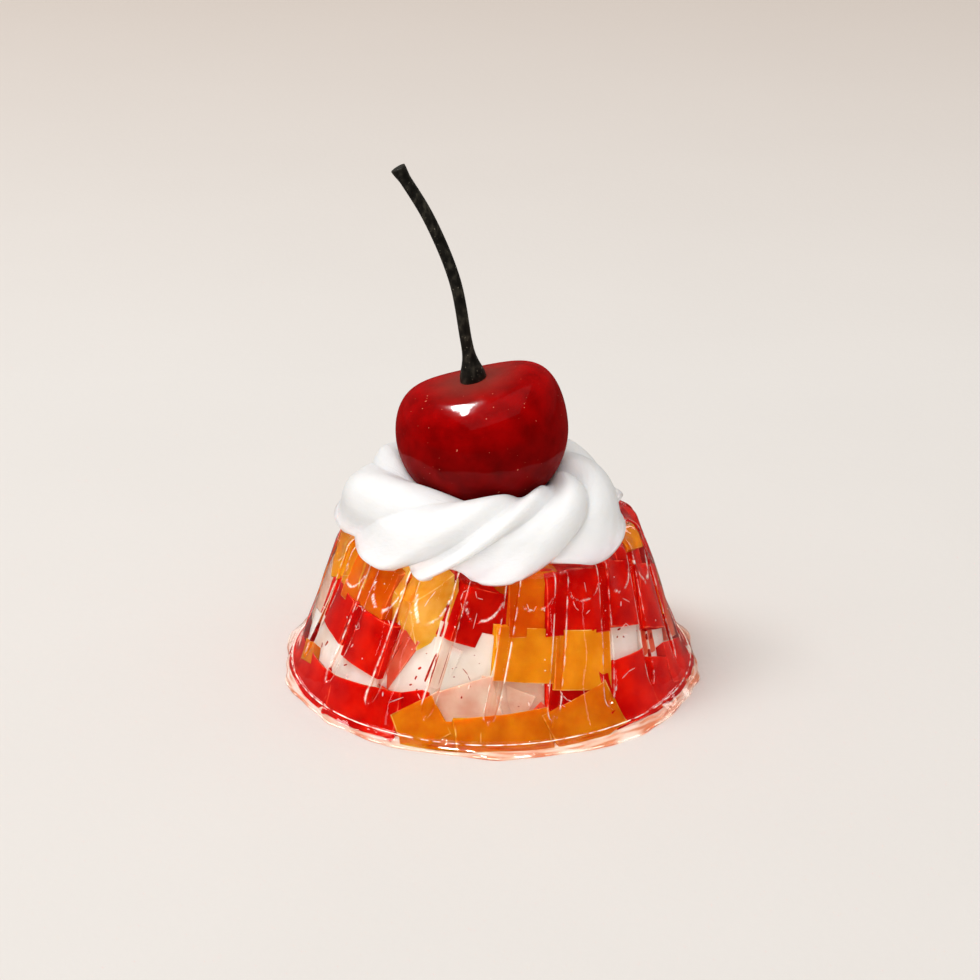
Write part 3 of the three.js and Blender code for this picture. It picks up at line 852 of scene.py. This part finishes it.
class Finish(NodeTree):
    """A node material round one shader."""

    def __init__(self, name):
        self.material = bpy.data.materials.new(name)
        super().__init__(self.material)
        self.shader = self.nodes["Principled BSDF"]
        self.place = self.add("TexCoord").outputs["Object"]

    def set(self, **values):
        for name, value in values.items():
            self.feed(self.shader.inputs[name.replace("_", " ")], value)

    def attribute(self, name, output="Fac"):
        return self.add("Attribute", attribute_name=name).outputs[output]

    def noise(self, size, detail=2.0, stretch=(1, 1, 1), place=None):
        """Noise whose lumps are about a size across."""
        mapping = self.add("Mapping", {"Vector": place or self.place, "Scale": stretch})
        inputs = {"Vector": mapping.outputs["Vector"], "Scale": 1 / size, "Detail": detail}
        return self.add("TexNoise", inputs).outputs["Fac"]

    def ramp(self, factor, stops):
        """Colours or greys at places along a factor."""
        node = self.add("ValToRGB", {"Fac": factor})
        elements = node.color_ramp.elements
        while len(elements) < len(stops):
            elements.new(0.5)
        for element, (position, tone) in zip(elements, stops):
            element.position = position
            element.color = (*tone, 1) if isinstance(tone, tuple) else (tone, tone, tone, 1)
        return node.outputs["Color"]

    def vary(self, size, detail, *stops):
        """Colours or greys that change from place to place, in lumps of about a size."""
        return self.ramp(self.noise(size, detail), stops)

    def blend(self, factor, colour, other):
        """A colour output, with a plain other colour laid over it by a factor."""
        mix = self.add("Mix", {"Factor": factor, 6: colour, 7: (*other, 1)}, data_type="RGBA")
        return mix.outputs[2]

    def bump(self, height, depth):
        """Makes the surface uneven, over any unevenness that it has already."""
        inputs = {"Height": height, "Distance": depth}
        for link in self.shader.inputs["Normal"].links:
            inputs["Normal"] = link.from_socket
        self.set(Normal=self.add("Bump", inputs).outputs["Normal"])

    def replace(self, factor, other):
        """Puts another shader in this finish's place, by a factor."""
        inputs = {0: factor, 1: self.shader.outputs["BSDF"], 2: other.outputs["BSDF"]}
        mix = self.add("MixShader", inputs)
        self.links.new(mix.outputs["Shader"], self.nodes["Material Output"].inputs["Surface"])

    def let_lamps_through(self, colour):
        """Lamps shine straight through, tinted, so that what lies behind is lit."""
        ray = self.add("LightPath")
        self.replace(ray.outputs["Is Shadow Ray"], self.add("BsdfTransparent", {"Color": colour}))


def jelly_finish():
    finish = Finish("clear_jelly")
    # The jelly's own faint warmth, turning to a painted red refraction of the cubes where that weight is
    # high; lamps shine through tinted by the same colour.
    refraction_tint = finish.ramp(
        finish.attribute(PAINTED_RED_REFRACTION),
        [(0.1, (1.0, 0.975, 0.935)), (0.45, (0.9, 0.73, 0.61)), (0.9, (0.7, 0.2, 0.08))],
    )
    # Painted highlights: warm pale lines, broken up, where the jelly is also made less clear.
    broken = finish.vary(1.6 * MM, 3, (0.38, 0.1), (0.6, 1.0))
    line = finish.combine("MULTIPLY", finish.attribute(PAINTED_HIGHLIGHT_LINE), broken)
    finish.set(
        Base_Color=finish.blend(line, refraction_tint, (1.0, 0.88, 0.72)),
        Roughness=finish.vary(3 * MM, 2, (0.3, 0.02), (0.8, 0.05)),
        Transmission_Weight=1.0,
        IOR=1.34,
        Specular_IOR_Level=0.25,
    )
    finish.set(Transmission_Weight=finish.ramp(line, [(0.1, 1.0), (0.9, 0.3)]))
    finish.bump(finish.noise(2.5 * MM, 3), 0.01 * MM)
    finish.let_lamps_through(refraction_tint)
    return finish.material


def cube_finish(name, deep, clear, edge, glow, passed):
    """Cut jelly in one colour, cloudy, with paler and deeper patches and a painted highlight along its cut
    edges, that passes tinted light.
    """
    finish = Finish(name)
    patches = finish.vary(4 * MM, 5, (0.35, deep), (0.65, clear))
    # A painted highlight along the cut edges, broken up.
    broken = finish.vary(2 * MM, 3, (0.42, 0.0), (0.6, 1.0))
    line = finish.combine("MULTIPLY", finish.attribute(CUT_EDGE_HIGHLIGHT), broken)
    finish.set(
        Base_Color=finish.blend(line, patches, edge),
        Roughness=finish.vary(1 * MM, 2, (0.3, 0.3), (0.7, 0.5)),
        Subsurface_Weight=1.0,
        Subsurface_Radius=glow,
        Subsurface_Scale=2.2 * MM,
        IOR=1.01,
        Specular_IOR_Level=0.0,
    )
    finish.bump(finish.noise(0.8 * MM, 3), 0.03 * MM)
    finish.let_lamps_through((*passed, 1))
    return finish.material


def cream_finish():
    finish = Finish("whipped_cream")
    finish.set(
        Base_Color=finish.vary(5 * MM, 3, (0.3, (0.755, 0.756, 0.755)), (0.7, (0.795, 0.796, 0.796))),
        Roughness=finish.vary(1.5 * MM, 2, (0.3, 0.38), (0.7, 0.52)),
        Subsurface_Weight=1.0,
        Subsurface_Radius=(1.0, 0.9, 0.8),
        Subsurface_Scale=2.5 * MM,
        Specular_IOR_Level=0.2,
    )
    finish.bump(finish.noise(0.7 * MM, 5), 0.03 * MM)
    finish.bump(finish.noise(1 / 22, 3, place=finish.attribute(ALONG_FOLDS, "Vector")), 0.09 * MM)
    finish.let_lamps_through((0.72, 0.69, 0.66, 1))
    return finish.material


def cherry_finish():
    finish = Finish("cherry_skin")
    mottled = finish.vary(3 * MM, 4, (0.3, (0.16, 0.0003, 0.0005)), (0.7, (0.285, 0.0006, 0.0008)))
    specks = finish.vary(0.45 * MM, 1, (0.77, 0.0), (0.8, 1.0))
    speckled = finish.blend(specks, mottled, (0.6, 0.16, 0.1))
    # Painted shade, browner and darker, in the hollow round the stem.
    dimple_shade = finish.ramp(finish.attribute(DIMPLE_PAINTED_SHADE), [(0.1, 0.0), (0.85, 0.8)])
    finish.set(
        Base_Color=finish.blend(dimple_shade, speckled, (0.15, 0.025, 0.018)),
        Roughness=finish.vary(2 * MM, 3, (0.3, 0.25), (0.7, 0.35)),
        Coat_Weight=0.14,
        Coat_Roughness=0.08,
        Specular_IOR_Level=0.0,
        Subsurface_Weight=0.2,
        Subsurface_Radius=(1.0, 0.1, 0.05),
        Subsurface_Scale=1.0 * MM,
    )
    finish.bump(finish.noise(1.6 * MM, 4), 0.03 * MM)
    return finish.material


def stem_finish():
    finish = Finish("cherry_stem")
    grain = finish.noise(0.9 * MM, 6, stretch=(1, 1, 0.6))
    tones = [(0.38, (0.007, 0.006, 0.0035)), (0.52, (0.015, 0.013, 0.0085)), (0.68, (0.05, 0.044, 0.03))]
    specks = finish.vary(0.3 * MM, 1, (0.72, 0.0), (0.76, 1.0))
    finish.set(
        Base_Color=finish.blend(specks, finish.ramp(grain, tones), (0.3, 0.27, 0.2)),
        Roughness=finish.ramp(grain, [(0.3, 0.4), (0.7, 0.6)]),
        Specular_IOR_Level=0.25,
    )
    finish.bump(grain, 0.12 * MM)
    return finish.material


# ---------------- dress the part

# For each colour of cube: its slot; its deeper tone, its paler tone and the tone of the painted highlight
# along its cut edges;
# # how far each colour of light spreads in it; and the tint of the lamps' light past each face.
CUBE_COLOURS = {
    "red": ("cubes_red", (0.36, 0.001, 0.0006), (0.54, 0.008, 0.002), (0.8, 0.12, 0.06),
            (1.0, 0.08, 0.04), (0.93, 0.6, 0.55)),
    "orange": ("cubes_amber", (0.5, 0.07, 0.001), (0.58, 0.13, 0.003), (0.8, 0.3, 0.08),
               (1.0, 0.25, 0.05), (0.95, 0.7, 0.6)),
    "amber": ("cubes_amber", (0.55, 0.18, 0.004), (0.66, 0.27, 0.009), (0.82, 0.5, 0.18),
              (1.0, 0.4, 0.08), (0.96, 0.78, 0.6)),
    "tawny": ("cubes_amber", (0.44, 0.1, 0.002), (0.54, 0.17, 0.004), (0.75, 0.4, 0.1),
              (1.0, 0.35, 0.07), (0.96, 0.75, 0.6)),
    "honey": ("cubes_amber", (0.68, 0.31, 0.018), (0.82, 0.5, 0.1), (0.88, 0.7, 0.4),
              (1.0, 0.5, 0.12), (0.97, 0.88, 0.75)),
    # Pale cloudy jelly, painted as bright as the room seen through the clear jelly.
    "pale": ("jelly", (0.66, 0.65, 0.61), (0.72, 0.722, 0.7), (0.75, 0.74, 0.73),
             (1.0, 0.9, 0.8), (0.97, 0.94, 0.92)),
    # Painted pink and red: the red cubes seen through clear jelly, put in as cubes.
    "pink_seen_through": ("jelly", (0.54, 0.31, 0.235), (0.64, 0.5, 0.42), (0.66, 0.54, 0.47),
             (1.0, 0.5, 0.4), (0.97, 0.9, 0.88)),
    "red_seen_through": ("jelly", (0.5, 0.06, 0.03), (0.6, 0.13, 0.075), (0.7, 0.4, 0.3),
              (1.0, 0.2, 0.15), (0.96, 0.8, 0.75)),
}
CRUMB_TONES = ((0.12, 0.012, 0.008), (0.25, 0.03, 0.015), (0.3, 0.05, 0.03),
               (1.0, 0.2, 0.1), (0.9, 0.7, 0.6))
# Tones of the pale bubbles and of the wisps of painted glint.
BUBBLE_AND_GLINT_TONES = ((0.86, 0.79, 0.73), (0.93, 0.9, 0.86), (0.93, 0.9, 0.86),
                (1.0, 0.9, 0.8), (0.98, 0.96, 0.95))


def dress(piece, material, slot, *nodes):
    """The piece with its finish, standing for the CAD nodes that it replaces. Its slot is not used."""
    piece.data.materials.append(material)
    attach(piece, "root")
    if nodes:
        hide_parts(*nodes)
    return piece


jelly_shell = dress(make_jelly_shell(), jelly_finish(), "jelly", "jelly_body")
cubes = place_cubes()
sunk_pieces = []
for seed, (colour, (slot, *tones)) in enumerate(CUBE_COLOURS.items()):
    boxes = [box for box_colour, box in cubes if box_colour == colour]
    material = cube_finish(f"{colour}_jelly", *tones)
    for lot, name in zip(part_cubes(boxes), (f"{colour}_cubes", f"more_{colour}_cubes")):
        if lot:
            sunk_pieces.append(dress(make_cubes(name, lot, seed), material, slot))
crumbs = make_bits("dark_crumbs", CRUMBS, 0.75, 31)
sunk_pieces.append(dress(crumbs, cube_finish("dark_crumbs", *CRUMB_TONES), "cubes_red"))
# Small bubbles, pale, with wisps of painted glint among them.
bubbles_and_glints = make_bits("pale_bubbles_and_glints", place_bubbles_and_glints(), 1.0, 32)
sunk_pieces.append(dress(bubbles_and_glints, cube_finish("pale_bubbles_and_glints", *BUBBLE_AND_GLINT_TONES), "jelly"))
whipped_cream = dress(make_cream(), cream_finish(), "cream", "cream_swirl")
cherry_flesh = dress(make_cherry(), cherry_finish(), "cherry_skin", "cherry")
cherry_stalk = dress(make_stem(), stem_finish(), "cherry_stem", "cherry_stem")


# ---------------- floor, light and camera

FLOOR_LEVEL = 0.05 * MM     # just over the jelly's base, so that no air shows between
SUBJECT = Vector((-0.15 * MM, 0, 27.82 * MM))
CAMERA_DISTANCE = 402 * MM
CAMERA_ELEVATION = math.radians(23)
ROOM_TONE = (1.0, 0.965, 0.92, 1)
ROOM_LIGHT = 0.5            # the pale room's light, how bright it shows through clear jelly,
ROOM_SEEN_THROUGH = 0.9     # and how bright its dark front and its pale backdrop are mirrored
ROOM_MIRRORED = 0.04
BACKDROP_MIRRORED = 0.3
FLOOR_MIRRORED = (0.16, 0.15, 0.14, 1)
FLOOR_TONES = [(0.3, (0.787, 0.754, 0.722)), (0.7, (0.802, 0.769, 0.737))]
FLOOR_FAR_SHADE = (0.7, 0.6, 0.53)
FLOOR_NEAR = 0.12           # how far back the floor starts to turn to its painted far shade, and has turned
FLOOR_FAR = 0.62
# The broken highlight on the cherry: how far each part lies aside and up, its width and height.
SPARKLE_PARTS = [(-0.07, -0.066, 0.18, 0.018), (0, 0.003, 0.42, 0.018), (-0.01, 0.02, 0.3, 0.014)]
SPARKLE_ROLL = math.radians(37)


def make_floor():
    half = 2.0
    corners = [(-half, -half), (half, -half), (half, half), (-half, half)]
    floor = new_object("floor", [(x, y, FLOOR_LEVEL) for x, y in corners], [(0, 1, 2, 3)])
    finish = Finish("floor_paper")
    # Painted shade: the floor turns darker and warmer towards the back.
    place = finish.add("SeparateXYZ", {"Vector": finish.place})
    inputs = {"Value": place.outputs["Y"], "From Min": FLOOR_NEAR, "From Max": FLOOR_FAR}
    far_shade = finish.add("MapRange", inputs).outputs["Result"]
    near = finish.vary(60 * MM, 4, *FLOOR_TONES)
    finish.set(
        Base_Color=finish.blend(far_shade, near, FLOOR_FAR_SHADE),
        Roughness=0.85,
        Specular_IOR_Level=0.15,
    )
    finish.bump(finish.noise(1.5 * MM, 4), 0.05 * MM)
    finish.replace(finish.mirrored(), finish.add("BsdfDiffuse", {"Color": FLOOR_MIRRORED}))
    floor.data.materials.append(finish.material)
    return floor


def make_world():
    world = bpy.data.worlds.new("studio")
    tree = NodeTree(world)
    direction = tree.add("SeparateXYZ", {"Vector": tree.add("TexCoord").outputs["Generated"]})
    inputs = {"From Min": -0.3, "From Max": 0.5, "To Min": ROOM_MIRRORED, "To Max": BACKDROP_MIRRORED}
    inputs["Value"] = direction.outputs["Y"]
    backdrop = tree.add("MapRange", inputs, interpolation_type="SMOOTHSTEP").outputs["Result"]
    seen_through = tree.add("LightPath").outputs["Is Transmission Ray"]
    plain = tree.mix(seen_through, ROOM_LIGHT, ROOM_SEEN_THROUGH)
    background = tree.nodes["Background"].inputs
    tree.feed(background["Color"], ROOM_TONE)
    tree.feed(background["Strength"], tree.mix(tree.mirrored(), plain, backdrop))
    bpy.context.scene.world = world


def add_light(
    name, direction, elevation, distance, width, height, brightness, only_on=(), diffuse=True, glossy=True,
):
    """A soft light, placed by its direction from the front towards the right. It can be left out
    of what it lights plainly, to be only mirrored, or out of what mirrors it."""
    lamp = bpy.data.lights.new(name, "AREA")
    lamp.shape = "RECTANGLE"
    lamp.size = width
    lamp.size_y = height
    lamp.energy = brightness * math.pi * width * height
    light = bpy.data.objects.new(name, lamp)
    lift = math.radians(elevation)
    away = round_point(math.cos(lift), FRONT + math.radians(direction), math.sin(lift))
    light.location = SUBJECT + away * distance
    light.rotation_euler = away.to_track_quat("Z", "Y").to_euler()
    light.visible_diffuse = diffuse
    light.visible_glossy = glossy
    light.visible_transmission = False      # what lies behind clear jelly is lit straight through it
    if only_on:
        lit = bpy.data.collections.new(f"lit_by_{name}")
        for piece in only_on:
            lit.objects.link(piece)
        light.light_linking.receiver_collection = lit
    bpy.context.scene.collection.objects.link(light)
    return light


def make_camera():
    camera_data = bpy.data.cameras.new("camera")
    camera_data.lens = 100
    camera_data.sensor_width = 36
    camera_data.clip_start = 10 * MM
    camera = bpy.data.objects.new("camera", camera_data)
    back = Vector((0, -math.cos(CAMERA_ELEVATION), math.sin(CAMERA_ELEVATION)))
    camera.location = SUBJECT + back * CAMERA_DISTANCE
    camera.rotation_euler = back.to_track_quat("Z", "Y").to_euler()
    bpy.context.scene.collection.objects.link(camera)
    bpy.context.scene.camera = camera


floor = make_floor()
make_world()
add_light("key", -86, 56, 1.6, 0.53, 0.53, 13.8, [floor, jelly_shell, cherry_stalk])
add_light("cube_key", -72, 50, 0.9, 0.3, 0.3, 15.4, sunk_pieces)
add_light("cube_fill", 46, 30, 0.9, 0.6, 0.6, 3.0, sunk_pieces)
add_light("cube_front", -8, 18, 0.9, 0.4, 0.4, 3.0, sunk_pieces)
add_light("overhead", 10, 84, 0.9, 0.9, 0.9, 0.9)
for part, (side, up, *size) in enumerate(SPARKLE_PARTS):
    sparkle = add_light(f"sparkle_{part}", -132.6, 63.2, 0.85, *size, 420, [cherry_flesh], diffuse=False)
    sparkle.location += sparkle.rotation_euler.to_matrix() @ Vector((side, up, 0))
    sparkle.rotation_euler.rotate_axis("Z", SPARKLE_ROLL)
for name, *place in [
    ("left_strip", -62, 12, 0.8, 0.03, 0.3, 3),
    ("right_strip", 58, 12, 0.8, 0.03, 0.3, 3),
    ("back_strip", 170, 35, 1.0, 1.6, 0.1, 6),
    ("left_glint", -35, 60, 0.8, 0.06, 0.06, 500),
    ("right_glint", 40, 66, 0.8, 0.05, 0.05, 220),
]:
    add_light(name, *place, [jelly_shell], diffuse=False)
add_light("cream_key", -80, 54, 1.6, 0.9, 0.9, 4.0, [whipped_cream])
add_light("cream_fill", -5, 38, 0.9, 0.5, 0.5, 4.3, [whipped_cream])
add_light("cherry_key", -75, 70, 1.2, 0.5, 0.5, 19.0, [cherry_flesh], glossy=False)
add_light("line_fill", -25, 42, 0.9, 0.6, 0.6, 9.0, [jelly_shell], glossy=False)
make_camera()
bpy.context.scene.view_settings.view_transform = "Standard"
